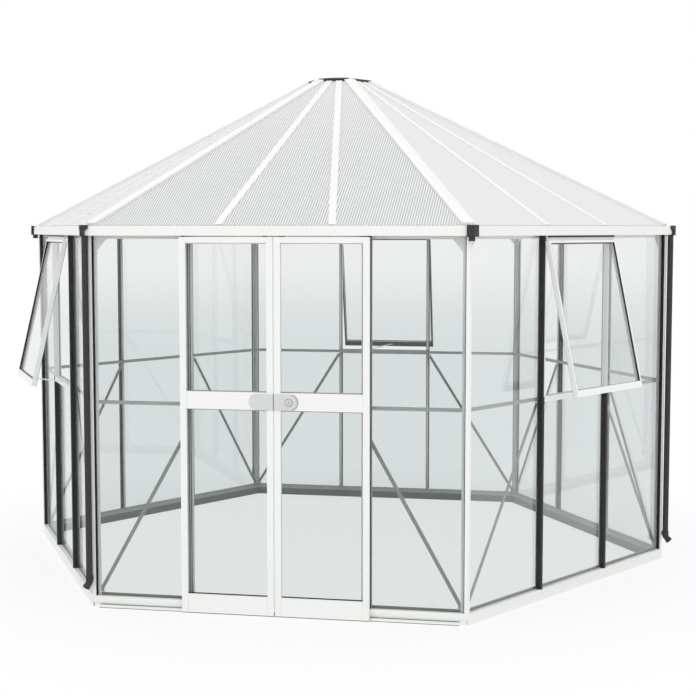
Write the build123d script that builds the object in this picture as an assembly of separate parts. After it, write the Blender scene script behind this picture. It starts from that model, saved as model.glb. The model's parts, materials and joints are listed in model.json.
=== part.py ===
from build123d import *
import math
import os

os.makedirs("parts", exist_ok=True)

# Overall form: a regular hexagon on plan, door wall facing -Y, ground at z = 0
side_length = 1860.0
eaves_height = 1881.0
crown_height = 2693.0
crown_radius = 186.0
walls = 6
half_angle = 180.0 / walls
cut_overrun = 20.0
seat_gap = 0.3

# Wall layers, measured outwards from the outer face of the base rail
glass_setback = 21.0
glass_thickness = 4.0
bar_flange_thickness = 3.0
bar_key_width = 6.0
bar_flange_width = 20.0
bar_rib_width = 8.0
bar_rib_depth = 4.0
pane_joint = 8.0
pane_clearance = 0.6
wall_bar_offset = 305.0
cap_width = 20.0
cap_depth = 25.5
cap_nose_radius = 6.0

# Base rail profile
base_height = 55.5
base_skin = 4.0
base_depth = 62.0
base_foot = 22.0
base_flange_height = 13.0
base_shoulder_rise = 5.0
base_shoulder_drop = 12.0
base_tuck = 8.0
base_tuck_low = 18.0
base_tuck_high = 46.0
base_tuck_steps = 4
mitre_gap = 0.6

# Gutter profile
gutter_projection = 28.0
gutter_fascia_height = 48.0
gutter_skin = 3.0
gutter_floor_drop = 26.0
gutter_back_rise = 10.0
gutter_hanger_drop = 16.0
gutter_corner_reach = 36.0
gutter_corner_root = 18.0
gutter_shelf_reach = 30.0
gutter_corner_lap = 13.5
gutter_corner_rise = 3.0
gutter_corner_shoulder = 14.0
gutter_corner_tail = 26.0
gutter_corner_plate = 4.0
gutter_corner_floor = 0.6
gutter_stub_radius = 15.0
gutter_stub_length = 20.0

# Corner posts and their dark seals
post_nose_width = 16.5
post_nose_skin = 4.0
post_neck_width = 3.5
post_flange_width = 36.0
post_web_depth = 12.0
post_web_width = 8.0
seal_lip = 5.0
seal_lip_thickness = 3.0

# Mid rails, vent sills, braces and gussets
mid_rail_height = 1018.0
mid_rail_face = 18.0
mid_rail_slope = 6.0
mid_rail_depth = 12.0
vent_sill_height = 1018.0
vent_sill_face = 28.0
vent_sill_nose = 2.0
brace_width = 18.0
brace_thickness = 4.0
brace_foot_rise = 7.0
brace_head_drop = 22.0
brace_front_head_height = 862.0
gusset_reach = 48.0
gusset_drop = 66.0
gusset_lap = 8.0
gusset_thickness = 3.0

# Top-hung vents, standing open
vent_width = 630.0
vent_foot_lap = 10.0
vent_open_angle = 13.0
vent_hinge_reach = 19.5
vent_hinge_drop = 25.0
vent_hinge_depth = 10.0
vent_hinge_clearance = 3.0
vent_stile_width = 12.0
vent_frame_depth = 24.0
vent_top_rail = 15.0
vent_bottom_rail = 34.0
vent_stay_width = 14.0
vent_stay_thickness = 5.0
vent_stay_foot_depth = 10.0
vent_stay_offset = 100.0
vent_stay_swing = 125.0

# Door wall and sliding leaves
jamb_offset = 455.0
jamb_cap_width = 19.0
jamb_cap_depth = 17.0
jamb_door_reach = 38.0
jamb_pane_reach = 13.0
jamb_depth = 14.0
jamb_rib_width = 6.0
jamb_rib_depth = 3.0
jamb_ribs = 2
door_clearance = 6.0
door_thickness = 20.0
leaf_width = 460.0
leaf_meeting_gap = 6.0
leaf_bottom = 5.0
leaf_head_gap = 6.0
leaf_stile = 31.0
leaf_seam = 2.0
leaf_top_rail = 28.0
leaf_bottom_rail = 92.0
leaf_mid_rail = 85.0
leaf_mid_height = 1003.0
leaf_glass_thickness = 4.0
guide_rail_height = 13.0
guide_rail_projection = 12.0
guide_slot_width = 4.0
guide_slot_depth = 7.0
guide_clearance = 5.0
track_width = 18.0
track_skin = 2.0
track_slot = 8.0
hanger_offsets_shares = (0.08, 0.92)
hanger_width = 26.0
hanger_stem = 4.0
hanger_wheel_radius = 7.0
hanger_wheel_width = 12.0
handle_height = 78.0
handle_length = 118.0
handle_thickness = 4.0
handle_rise = 40.0
lock_radius = 19.0
lock_depth = 6.0
lock_offset = 72.0
lock_barrel_radius = 9.0
lock_barrel_depth = 3.0

# Roof covering and its bars
roof_thickness = 6.0
roof_eaves_reach = 22.0
roof_joint = 10.0
roof_bar_offset = 275.0
crown_bar_offset = 28.0
roof_bar_width = 30.0
roof_bar_flange = 3.0
roof_bar_web = 6.0
roof_bar_depth = 34.0
roof_cap_width = 36.0
roof_cap_thickness = 4.0
hip_cap_half_width = 33.0
hip_cap_thickness = 12.0
hip_bar_half_width = 20.0
hip_bar_depth = 40.0
hip_web_half_width = 4.0
crown_ring_inset = 20.0
crown_ring_skin = 6.0
crown_ring_height = 52.0
crown_cap_rim = 22.0
crown_cap_rise = 12.0
crown_cap_inset = 1.0
crown_top_share = 0.5
hip_end_length = 40.0
hip_end_half_width = 9.0
hip_end_rise = 4.0

# Rain pipes and their clips
pipe_radius = 16.0
pipe_centre_reach = 20.0
pipe_foot_height = 130.0
elbow_length = 36.0
pipe_wall = 2.0
outlet_depth = 22.0
elbow_angle = 40.0
clip_height = 136.0
clip_band = 22.0
clip_arm_width = 14.0
clip_wall = 3.0
pipe_corners = tuple(range(0, walls, 2))
block_corner = walls - 1

# Derived sizes
apothem = side_length * math.cos(math.radians(half_angle))
glass_outer = -glass_setback
glass_inner = glass_outer - glass_thickness
flange_back = glass_inner - bar_flange_thickness
rib_back = flange_back - bar_rib_depth
gutter_bottom = eaves_height - gutter_fascia_height
gutter_floor_top = eaves_height - gutter_floor_drop
gutter_floor_bottom = gutter_floor_top - gutter_skin
gutter_back = flange_back
gutter_back_inner = gutter_back - base_skin
gutter_back_top = eaves_height + gutter_back_rise
base_flange_top = base_height + base_flange_height
web_bottom = base_flange_top
web_top = gutter_bottom - gutter_hanger_drop
glass_bottom = base_height
glass_top = gutter_floor_bottom
half_tangent = math.tan(math.radians(half_angle))
wall_names = ("front", "right_front", "right_back", "back", "left_back", "left_front")
vent_walls = tuple(range(1, walls, 2))
plain_walls = tuple(range(2, walls, 2))
leaf_top = gutter_bottom - leaf_head_gap
pipe_centre = side_length + pipe_centre_reach
vent_hinge_height = gutter_bottom - vent_hinge_drop
vent_sill_top = vent_sill_height + vent_sill_face / 2
vent_sill_bottom = vent_sill_height - vent_sill_face / 2
vent_length = vent_hinge_height - vent_sill_top + vent_foot_lap


def save(node, solids):
    export_step(Compound(children=list(solids)), f"parts/{node}.step")


def turn(shape, wall):
    return shape.rotate(Axis.Z, wall * 2 * half_angle)


def span(u0, u1, n0, n1, z0, z1):
    # A block on the front wall: along the wall, out from the base face, and up
    corner = Vector(min(u0, u1), -(apothem + max(n0, n1)), min(z0, z1))
    block = Solid.make_box(abs(u1 - u0), abs(n1 - n0), abs(z1 - z0))
    return block.moved(Location(corner))


def wedge(gap=0.0):
    # The sixth of the plan that belongs to the front wall
    reach = side_length * 2
    shift = gap / 2 / math.sin(math.radians(half_angle))
    tip = (0, -shift)
    left = (-reach * half_tangent, -reach - shift)
    right = (reach * half_tangent, -reach - shift)
    face = make_face(Polyline(tip, left, right, close=True))
    return extrude(face, crown_height * 2, dir=(0, 0, 1))


def run_profile(points):
    # An extrusion along the front wall from points out from the base face and up
    path = [Vector(-side_length, -(apothem + n), z) for n, z in points]
    face = make_face(Polyline(*path, close=True))
    return extrude(face, side_length * 2, dir=(1, 0, 0))


# Base rails: a channel with turned-in feet, a sloping shoulder and an upstand behind the panes
def base_rail(face):
    # The rail of one wall, from the points of its outer face, bottom to top
    skin = base_skin
    back = flange_back - skin
    lining = [(n - skin, z) for n, z in reversed(face[1:-1])]
    foot = face[0][0]
    outline = list(face)
    outline += [
        (flange_back, base_height),
        (flange_back, base_flange_top),
        (back, base_flange_top),
        (back, base_height + base_shoulder_rise),
        (-base_depth, base_height - base_shoulder_drop),
        (-base_depth, 0),
        (base_foot - base_depth, 0),
        (base_foot - base_depth, skin),
        (skin - base_depth, skin),
        (skin - base_depth, base_height - base_shoulder_drop - skin),
        (back, base_height - skin),
        (-skin, base_height - skin),
    ]
    outline += lining
    outline += [(foot - skin, skin), (-base_foot, skin), (-base_foot, 0)]
    return run_profile(outline) & wedge(mitre_gap)


def tucked_face():
    # Under the doors the face curves back above the guide rail
    points = [(-base_tuck, 0)]
    for step in range(base_tuck_steps + 1):
        angle = math.pi / 2 * (1 - step / base_tuck_steps)
        n = base_tuck * (math.cos(angle) - 1)
        z = base_tuck_high - (base_tuck_high - base_tuck_low) * math.sin(angle)
        points.append((n, z))
    return points + [(0, base_height)]


def base_rails():
    plain = base_rail([(0, 0), (0, base_height)])
    rails = [base_rail(tucked_face())]
    return rails + [turn(plain, wall) for wall in range(1, walls)]


# Gutters: a fascia, a trough floor and a back wall that carries the uprights
def gutters():
    skin = gutter_skin
    outline = (
        (gutter_projection, gutter_bottom),
        (gutter_projection, eaves_height),
        (gutter_projection - skin, eaves_height),
        (gutter_projection - skin, gutter_floor_top),
        (gutter_back, gutter_floor_top),
        (gutter_back, gutter_back_top),
        (gutter_back_inner, gutter_back_top),
        (gutter_back_inner, gutter_bottom - gutter_hanger_drop),
        (gutter_back, gutter_bottom - gutter_hanger_drop),
        (gutter_back, gutter_floor_bottom),
        (gutter_projection - skin, gutter_floor_bottom),
        (gutter_projection - skin, gutter_bottom),
    )
    gutter = run_profile(outline) & wedge(mitre_gap)
    return [turn(gutter, wall) for wall in range(walls)]


def corner_spot(s, n, hand):
    # A point by the corner on +X: s along the wall from the corner, n out from the base face
    angle = math.radians(half_angle)
    x = side_length - s * math.sin(angle) + n * math.cos(angle)
    y = hand * (s * math.cos(angle) + n * math.sin(angle))
    return (x, y)


def bisector(n):
    # Where the plane that halves the corner cuts a layer of the wall
    return -n * half_tangent


def neck(n):
    # Where the side of the post's neck cuts a layer of the wall
    return bisector(n) + post_neck_width


def corner_prism(half_outline, z0, z1):
    # A prism symmetric about the corner's own radius; its half outline starts and ends there
    upper = [corner_spot(s, n, 1) for s, n in half_outline]
    lower = [corner_spot(s, n, -1) for s, n in reversed(half_outline[1:-1])]
    points = [Vector(x, y, z0) for x, y in upper + lower]
    face = make_face(Polyline(*points, close=True))
    return extrude(face, z1 - z0, dir=(0, 0, 1))


def corner_side(outline, hand, z0, z1):
    # A prism on one side of the corner
    points = [Vector(*corner_spot(s, n, hand), z0) for s, n in outline]
    face = make_face(Polyline(*points, close=True))
    return extrude(face, z1 - z0, dir=(0, 0, 1))


def corner_plate(outline, n0, n1, hand):
    # A plate in the wall's own upright plane, from points along the wall and up
    points = [Vector(*corner_spot(s, n0, hand), z) for s, z in outline]
    face = make_face(Polyline(*points, close=True))
    angle = math.radians(half_angle)
    return extrude(face, n1 - n0, dir=(math.cos(angle), hand * math.sin(angle), 0))


def at_corners(shape):
    return [turn(shape, corner) for corner in range(walls)]


# Corner posts: a pale nose outside the glass, a neck between panes, a flange behind
def corner_posts():
    skin = -post_nose_skin
    outline = (
        (0, 0),
        (post_nose_width, 0),
        (post_nose_width, skin),
        (neck(skin), skin),
        (neck(glass_inner), glass_inner),
        (post_flange_width, glass_inner),
        (post_flange_width, flange_back),
        (bisector(flange_back), flange_back),
    )
    post = corner_prism(outline, base_height, gutter_floor_bottom)
    inner = (apothem + flange_back) / math.cos(math.radians(half_angle))
    web = Solid.make_box(post_web_depth, post_web_width, web_top - web_bottom)
    web = web.moved(Location((inner - post_web_depth, -post_web_width / 2, web_bottom)))
    return at_corners(post + web)


def corner_seals():
    # Dark flanks that fill the nose and press a lip on each pane
    skin = -post_nose_skin
    lip_front = glass_outer + seal_lip_thickness
    outline = (
        (neck(skin), skin),
        (post_nose_width, skin),
        (post_nose_width, lip_front),
        (post_nose_width + seal_lip, lip_front),
        (post_nose_width + seal_lip, glass_outer),
        (neck(glass_outer), glass_outer),
    )
    strips = []
    for hand in (-1, 1):
        strips += at_corners(corner_side(outline, hand, base_height, gutter_floor_bottom))
    return strips


# Glazing bars: a key between panes, a flange behind them and a rib down its middle
def glazing_bar(offset):
    half_key = bar_key_width / 2
    half_flange = bar_flange_width / 2
    half_rib = bar_rib_width / 2
    key = span(
        offset - half_key, offset + half_key, glass_outer, glass_inner,
        base_height, gutter_floor_bottom,
    )
    flange = span(
        offset - half_flange, offset + half_flange, glass_inner, flange_back,
        base_height, gutter_floor_bottom,
    )
    rib = span(offset - half_rib, offset + half_rib, flange_back, rib_back, web_bottom, web_top)
    return key + flange + rib


def bar_cap(offset, width, depth):
    half = width / 2
    cap = span(
        offset - half, offset + half, glass_outer, glass_outer + depth,
        base_height, gutter_floor_bottom,
    )
    front = -(apothem + glass_outer + depth)
    nose = [e for e in cap.edges().filter_by(Axis.Z) if abs(e.center().Y - front) < seat_gap]
    return fillet(nose, cap_nose_radius)


def vent_side(hand):
    # The half of a bar that faces the vent, above its sill
    return span(
        hand * wall_bar_offset, hand * (wall_bar_offset - cap_width / 2),
        glass_inner, glass_outer + cap_depth, vent_sill_top, gutter_floor_bottom,
    )


def wall_bars():
    bars = []
    for wall in vent_walls + plain_walls:
        for hand in (-1, 1):
            bar = glazing_bar(hand * wall_bar_offset)
            if wall in vent_walls:
                bar += vent_side(hand)
            bars.append(turn(bar, wall))
    return bars


def bar_caps():
    # Dark caps; beside a vent only the half over the fixed pane goes on above the sill
    caps = []
    for wall in vent_walls + plain_walls:
        for hand in (-1, 1):
            cap = bar_cap(hand * wall_bar_offset, cap_width, cap_depth)
            if wall in vent_walls:
                cap -= vent_side(hand)
            caps.append(turn(cap, wall))
    return caps


# Door jambs: a bar with a ribbed wing towards the doorway
def door_jamb(hand):
    half_key = bar_key_width / 2
    inner = jamb_offset - jamb_door_reach
    outer = jamb_offset + jamb_pane_reach
    key = span(
        hand * (jamb_offset - half_key), hand * (jamb_offset + half_key),
        glass_outer, glass_inner, base_height, gutter_floor_bottom,
    )
    wing = span(
        hand * inner, hand * outer, glass_inner, flange_back, base_height, gutter_floor_bottom
    )
    fin = span(
        hand * inner, hand * (inner + bar_rib_width), flange_back, flange_back - jamb_depth,
        web_bottom, web_top,
    )
    jamb = key + wing + fin
    room = jamb_offset - jamb_cap_width / 2 - inner
    pitch = room / (jamb_ribs + 1)
    for rib in range(jamb_ribs + 1):
        start = inner + rib * pitch
        jamb += span(
            hand * start, hand * (start + jamb_rib_width), glass_inner,
            glass_inner + jamb_rib_depth, base_height, gutter_floor_bottom,
        )
    return jamb


def door_jambs():
    return [door_jamb(hand) for hand in (-1, 1)]


def jamb_caps():
    return [bar_cap(hand * jamb_offset, jamb_cap_width, jamb_cap_depth) for hand in (-1, 1)]


def wall_end():
    # Half the length of a wall's glazing, which stops at the necks of the corner posts
    return side_length / 2 - neck(glass_inner) - pane_clearance


def pane(u0, u1, z0, z1):
    return span(u0, u1, glass_outer, glass_inner, z0, z1)


def bay_ends():
    # The three glazing bays of a wall, between its bars
    edge = wall_end()
    inner = wall_bar_offset - pane_joint / 2
    outer = wall_bar_offset + pane_joint / 2
    return ((-edge, -outer), (-inner, inner), (outer, edge))


def wall_glass(wall):
    panes = []
    if wall == 0:
        edge = wall_end()
        outer = jamb_offset + pane_joint / 2
        panes.append(pane(-edge, -outer, glass_bottom, glass_top))
        panes.append(pane(outer, edge, glass_bottom, glass_top))
    for bay, (u0, u1) in enumerate(bay_ends()):
        if wall == 0:
            continue
        opens = wall in vent_walls and bay == 1
        top = vent_sill_bottom if opens else glass_top
        panes.append(pane(u0, u1, glass_bottom, top))
    return [turn(piece, wall) for piece in panes]


# Mid rails run behind the panes from post to bar and from bar to bar, with a ridged top
def mid_rail(u0, u1):
    low = mid_rail_height - mid_rail_face / 2
    high = mid_rail_height + mid_rail_face / 2
    back = flange_back - mid_rail_depth
    outline = (
        (flange_back, low),
        (flange_back, high - mid_rail_slope),
        ((flange_back + back) / 2, high),
        (back, high - mid_rail_slope),
        (back, low),
    )
    path = [Vector(u0, -(apothem + n), z) for n, z in outline]
    face = make_face(Polyline(*path, close=True))
    return extrude(face, u1 - u0, dir=(1, 0, 0))


def mid_rails():
    web_reach = post_web_width / 2 / math.cos(math.radians(half_angle)) + seat_gap
    edge = (apothem + flange_back - mid_rail_depth) * half_tangent - web_reach
    stop = bar_rib_width / 2
    rails = []
    for wall in range(walls):
        spans = [(-edge, -wall_bar_offset - stop), (wall_bar_offset + stop, edge)]
        if wall == 0:
            jamb_stop = jamb_offset + jamb_pane_reach - mid_rail_depth
            spans = [(-edge, -jamb_stop), (jamb_stop, edge)]
        if wall in plain_walls:
            spans.append((stop - wall_bar_offset, wall_bar_offset - stop))
        rails += [turn(mid_rail(u0, u1), wall) for u0, u1 in spans]
    return rails


def vent_sills():
    inner = wall_bar_offset - cap_width / 2
    rib_side = wall_bar_offset - bar_rib_width / 2
    flange_edge = wall_bar_offset - bar_flange_width / 2
    front = span(-inner, inner, glass_inner, vent_sill_nose, vent_sill_bottom, vent_sill_top)
    middle = span(
        -flange_edge, flange_edge, glass_inner, flange_back, vent_sill_bottom, vent_sill_top
    )
    back = span(
        -rib_side, rib_side, flange_back, flange_back - mid_rail_depth,
        vent_sill_bottom, vent_sill_top,
    )
    return [turn(front + middle + back, wall) for wall in vent_walls]


# Braces run on the inner face from the foot of each post to the nearest bar
def brace(foot, head):
    run = Vector(head[0] - foot[0], 0, head[1] - foot[1])
    across = Vector(-run.Z, 0, run.X).normalized() * (brace_width / 2)
    y = -(apothem + flange_back)
    ends = [Vector(foot[0], y, foot[1]), Vector(head[0], y, head[1])]
    corners = [ends[0] - across, ends[1] - across, ends[1] + across, ends[0] + across]
    face = make_face(Polyline(*corners, close=True))
    return extrude(face, brace_thickness, dir=(0, 1, 0))


def wall_braces():
    edge = (apothem + flange_back - brace_thickness) * half_tangent
    web_reach = post_web_width / 2 / math.cos(math.radians(half_angle))
    foot_offset = edge - web_reach - brace_width / 2
    pieces = []
    for wall in range(walls):
        head_offset = wall_bar_offset + (bar_rib_width + brace_width) / 2
        head_height = mid_rail_height - brace_head_drop
        if wall == 0:
            head_offset = jamb_offset + jamb_pane_reach - brace_width / 2
            head_height = brace_front_head_height
        for hand in (-1, 1):
            foot = (hand * foot_offset, base_flange_top + brace_foot_rise)
            head = (hand * head_offset, head_height)
            pieces.append(turn(brace(foot, head), wall))
    return pieces


def eaves_gussets():
    y = -(apothem + flange_back)
    edge = side_length / 2 - post_flange_width
    pieces = []
    for hand in (-1, 1):
        corner = hand * (edge + gusset_lap)
        points = (
            Vector(corner, y, web_top),
            Vector(hand * (edge - gusset_reach), y, web_top),
            Vector(corner, y, web_top - gusset_drop),
        )
        face = make_face(Polyline(*points, close=True))
        plate = extrude(face, gusset_thickness, dir=(0, 1, 0))
        pieces += [turn(plate, wall) for wall in range(walls)]
    return pieces


# Vents: frames hung from a bar under the gutter, turned out at the foot
def vent_place(shape):
    hinge = Location((0, -(apothem + vent_hinge_reach), vent_hinge_height))
    tilted = shape.rotate(Axis.X, -vent_open_angle)
    return tilted.moved(hinge)


def vent_block(u0, u1, d0, d1, depth0, depth1):
    # A block of a vent, d down from its hinge, depth in from its outer face
    block = Solid.make_box(u1 - u0, depth1 - depth0, d1 - d0)
    return block.moved(Location((u0, depth0 - vent_frame_depth / 2, -d1)))


def vent_hinges():
    half = vent_width / 2
    bar = span(
        -half, half, vent_hinge_reach - vent_hinge_depth / 2,
        vent_hinge_reach + vent_hinge_depth / 2, vent_hinge_height, gutter_floor_bottom,
    )
    return [turn(bar, wall) for wall in vent_walls]


def vent_stiles():
    half = vent_width / 2
    pieces = []
    for u0 in (-half, half - vent_stile_width):
        stile = vent_block(
            u0, u0 + vent_stile_width, vent_hinge_clearance, vent_length, 0, vent_frame_depth
        )
        pieces += [turn(vent_place(stile), wall) for wall in vent_walls]
    return pieces


def vent_foot_rail():
    half = vent_width / 2 - vent_stile_width
    return vent_block(
        -half, half, vent_length - vent_bottom_rail, vent_length, 0, vent_frame_depth
    )


def vent_rails():
    half = vent_width / 2 - vent_stile_width
    pieces = []
    top = vent_block(-half, half, vent_hinge_clearance, vent_top_rail, 0, vent_frame_depth)
    for rail in (top, vent_foot_rail()):
        pieces += [turn(vent_place(rail), wall) for wall in vent_walls]
    return pieces


def vent_glass():
    half = vent_width / 2 - vent_stile_width
    middle = vent_frame_depth / 2
    pane_solid = vent_block(
        -half, half, vent_top_rail, vent_length - vent_bottom_rail,
        middle - glass_thickness / 2, middle + glass_thickness / 2,
    )
    return [turn(vent_place(pane_solid), wall) for wall in vent_walls]


def vent_stays():
    tilt = math.radians(vent_open_angle)
    down = vent_length - vent_bottom_rail / 2
    inner = vent_frame_depth / 2
    reach = vent_hinge_reach + down * math.sin(tilt) - inner * math.cos(tilt)
    height = vent_hinge_height - down * math.cos(tilt) - inner * math.sin(tilt)
    top = vent_sill_top + vent_stay_thickness / 2
    foot = Vector(vent_stay_offset, -(apothem - vent_stay_foot_depth), top)
    head = Vector(vent_stay_offset - vent_stay_swing, -(apothem + reach), height)
    run = head - foot
    bar = Solid.make_box(run.length, vent_stay_width, vent_stay_thickness)
    bar = bar.moved(Location((0, -vent_stay_width / 2, -vent_stay_thickness / 2)))
    place = Plane(origin=foot, x_dir=run, z_dir=run.cross(Vector(0, 0, 1)).cross(run))
    stay = place * bar - vent_place(vent_foot_rail())
    return [turn(stay, wall) for wall in vent_walls]


# Roof: a face on the front wall's sixth, drawn in its own sloping plane
eaves_run = apothem + gutter_back
roof_rise = crown_height - gutter_back_top
roof_run = eaves_run - crown_radius * math.cos(math.radians(half_angle))
roof_slope = math.hypot(roof_rise, roof_run)
roof_plane = Plane(
    origin=(0, -eaves_run, gutter_back_top),
    x_dir=(1, 0, 0),
    z_dir=(0, -roof_rise / roof_slope, roof_run / roof_slope),
)
eaves_half = eaves_run * half_tangent
crown_half = crown_radius / 2
roof_low = -roof_eaves_reach * roof_slope / roof_run


def roof_prism(points, w0, w1):
    face = make_face(Polyline(*points, close=True))
    return roof_plane * (Pos(0, 0, w0) * extrude(face, w1 - w0))


def roof_line(t, at_eaves, at_crown):
    # Place along the face of a line that fans from eaves to crown, t up the slope
    return at_eaves + (at_crown - at_eaves) * t / roof_slope


def fan_strip(left, right, t0, t1, w0, w1):
    # A slab of the roof face between two fanning lines
    points = (
        (roof_line(t0, *left), t0),
        (roof_line(t0, *right), t0),
        (roof_line(t1, *right), t1),
        (roof_line(t1, *left), t1),
    )
    return roof_prism(points, w0, w1)


def beside(line, shift):
    return (line[0] + shift, line[1] + shift)


left_bar_line = (-roof_bar_offset, -crown_bar_offset)
right_bar_line = (roof_bar_offset, crown_bar_offset)
left_hip_line = (-eaves_half, -crown_half)
right_hip_line = (eaves_half, crown_half)
roof_top = roof_slope


def roof_panels(wall):
    half = roof_joint / 2
    spans = (
        (beside(left_hip_line, half), beside(left_bar_line, -half)),
        (beside(left_bar_line, half), beside(right_bar_line, -half)),
        (beside(right_bar_line, half), beside(right_hip_line, -half)),
    )
    pieces = [
        fan_strip(left, right, roof_low, roof_top, 0, roof_thickness) for left, right in spans
    ]
    return [turn(piece, wall) for piece in pieces]


def roof_caps():
    half = roof_cap_width / 2
    pieces = []
    for line in (left_bar_line, right_bar_line):
        cap = fan_strip(
            beside(line, -half), beside(line, half), roof_low, roof_top,
            roof_thickness, roof_thickness + roof_cap_thickness,
        )
        pieces += [turn(cap, wall) for wall in range(walls)]
    return pieces


def roof_bars():
    # Each bar is a flange under the panels with a web below and a key between panels
    pieces = []
    for line in (left_bar_line, right_bar_line):
        half = roof_bar_width / 2
        web = roof_bar_web / 2
        low = roof_bar_depth
        flange = fan_strip(
            beside(line, -half), beside(line, half), low, roof_top, -roof_bar_flange, 0
        )
        stem = fan_strip(
            beside(line, -web), beside(line, web), low, roof_top, -roof_bar_depth, roof_thickness
        )
        bar = flange + stem - crown_core()
        pieces += [turn(bar, wall) for wall in range(walls)]
    return pieces


def hip_half(half_width, t0, w0, w1):
    # One face's half of a piece along the right-hand hip, cut at the hip's own plane
    reach = half_width + cut_overrun
    strip = fan_strip(
        beside(right_hip_line, -half_width), beside(right_hip_line, reach), t0, roof_top, w0, w1
    )
    return strip & wedge()


def mirror_hip(half):
    # The other half, by reflection in the vertical plane through the hip
    angle = math.radians(-half_angle * 2)
    normal = (math.sin(angle), -math.cos(angle), 0)
    return half.mirror(Plane(origin=(0, 0, 0), z_dir=normal))


def hip_pair(half_width, t0, w0, w1):
    half = hip_half(half_width, t0, w0, w1)
    return half + mirror_hip(half)


def hip_caps():
    # Each cap ends in a raised block against the crown's rim
    face = roof_thickness + hip_cap_thickness
    cap = hip_pair(hip_cap_half_width, roof_low, roof_thickness, face)
    end = hip_pair(hip_end_half_width, roof_top - hip_end_length, face, face + hip_end_rise)
    return [turn(cap + end, wall) for wall in range(walls)]


def hip_bars():
    flange = hip_pair(hip_bar_half_width, hip_bar_depth, -roof_bar_flange, 0)
    stem = hip_pair(hip_web_half_width, hip_bar_depth, -hip_bar_depth, roof_thickness)
    bar = flange + stem - crown_core()
    return [turn(bar, wall) for wall in range(walls)]


# Crown: a ring that the bars meet, under a low dark cap
def hexagon(radius, z, height):
    points = []
    for corner in range(walls):
        angle = math.radians(corner * 2 * half_angle)
        points.append(Vector(radius * math.cos(angle), radius * math.sin(angle), z))
    face = make_face(Polyline(*points, close=True))
    return extrude(face, height, dir=(0, 0, 1))


crown_ring_radius = crown_radius - crown_ring_inset
crown_cap_bottom = crown_height


def crown_core():
    # The space inside the ring, which the bars are cut back to
    return hexagon(crown_ring_radius, 0, crown_height * 2)


def crown_ring():
    bottom = crown_cap_bottom - crown_ring_height
    ring = hexagon(crown_ring_radius, bottom, crown_ring_height)
    hollow = hexagon(crown_ring_radius - crown_ring_skin, bottom, crown_ring_height)
    return [ring - hollow]


def crown_cap():
    radius = crown_radius - crown_cap_inset
    rim = hexagon(radius, crown_cap_bottom, crown_cap_rim)
    top = crown_cap_bottom + crown_cap_rim
    low = hexagon(radius, top, crown_cap_rise).faces().sort_by(Axis.Z)[0]
    high = hexagon(radius * crown_top_share, top + crown_cap_rise, crown_cap_rise)
    crest = loft([low, high.faces().sort_by(Axis.Z)[0]], ruled=True)
    return [rim + crest]


# Door gear: a head track under the gutter and a guide along the base
door_back = door_clearance
door_front = door_clearance + door_thickness
door_middle = (door_back + door_front) / 2


def door_head_track():
    reach = side_length / 2 - gutter_corner_reach
    u0 = -reach
    u1 = reach
    n0 = door_middle - track_width / 2
    n1 = door_middle + track_width / 2
    body = span(u0, u1, n0, n1, gutter_bottom, gutter_floor_bottom)
    hollow = span(
        u0, u1, n0 + track_skin, n1 - track_skin,
        gutter_bottom + track_skin, gutter_floor_bottom - track_skin,
    )
    slot = span(
        u0, u1, door_middle - track_slot / 2, door_middle + track_slot / 2,
        gutter_bottom, gutter_bottom + track_skin,
    )
    return [body - hollow - slot]


def door_guide_rail():
    # A low rail with a slot along its top
    reach = side_length / 2 - gutter_corner_reach
    rail = span(-reach, reach, -base_tuck, guide_rail_projection, 0, guide_rail_height)
    start = (guide_rail_projection - guide_slot_width) / 2
    slot = span(
        -reach - cut_overrun, reach + cut_overrun, start, start + guide_slot_width,
        guide_rail_height - guide_slot_depth, guide_rail_height + cut_overrun,
    )
    return [rail - slot]


def leaf_block(hand, a0, a1, n0, n1, z0, z1):
    # A block of a leaf, a measured from the meeting edge away from the middle
    start = leaf_meeting_gap / 2
    return span(hand * (start + a0), hand * (start + a1), n0, n1, z0, z1)


def door_stiles(hand):
    stiles = []
    groove_top = guide_rail_height + guide_clearance
    for a0 in (0, leaf_width - leaf_stile):
        stile = leaf_block(hand, a0, a0 + leaf_stile, door_back, door_front, leaf_bottom, leaf_top)
        groove = leaf_block(
            hand, a0 - cut_overrun, a0 + leaf_stile + cut_overrun, 0,
            guide_rail_projection + guide_clearance, 0, groove_top,
        )
        stiles.append(stile - groove)
    return stiles


def leaf_rail(hand, z0, z1):
    # A rail between the stiles, with a fine seam where its face meets theirs
    rail = leaf_block(
        hand, leaf_stile, leaf_width - leaf_stile, door_back, door_front, z0, z1
    )
    face = -(apothem + door_front)
    ends = [e for e in rail.edges().filter_by(Axis.Z) if abs(e.center().Y - face) < seat_gap]
    return chamfer(ends, leaf_seam)


def door_rails(hand):
    foot = leaf_rail(hand, leaf_bottom, leaf_bottom + leaf_bottom_rail)
    groove = leaf_block(
        hand, 0, leaf_width, 0, guide_rail_projection + guide_clearance, 0,
        guide_rail_height + guide_clearance,
    )
    middle = leaf_rail(hand, leaf_mid_height, leaf_mid_height + leaf_mid_rail)
    top = leaf_rail(hand, leaf_top - leaf_top_rail, leaf_top)
    return [foot - groove, middle, top]


def door_glass(hand):
    a0 = leaf_stile
    a1 = leaf_width - leaf_stile
    n0 = door_middle - leaf_glass_thickness / 2
    n1 = door_middle + leaf_glass_thickness / 2
    low = leaf_block(hand, a0, a1, n0, n1, leaf_bottom + leaf_bottom_rail, leaf_mid_height)
    high = leaf_block(
        hand, a0, a1, n0, n1, leaf_mid_height + leaf_mid_rail, leaf_top - leaf_top_rail
    )
    return [low, high]


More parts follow.
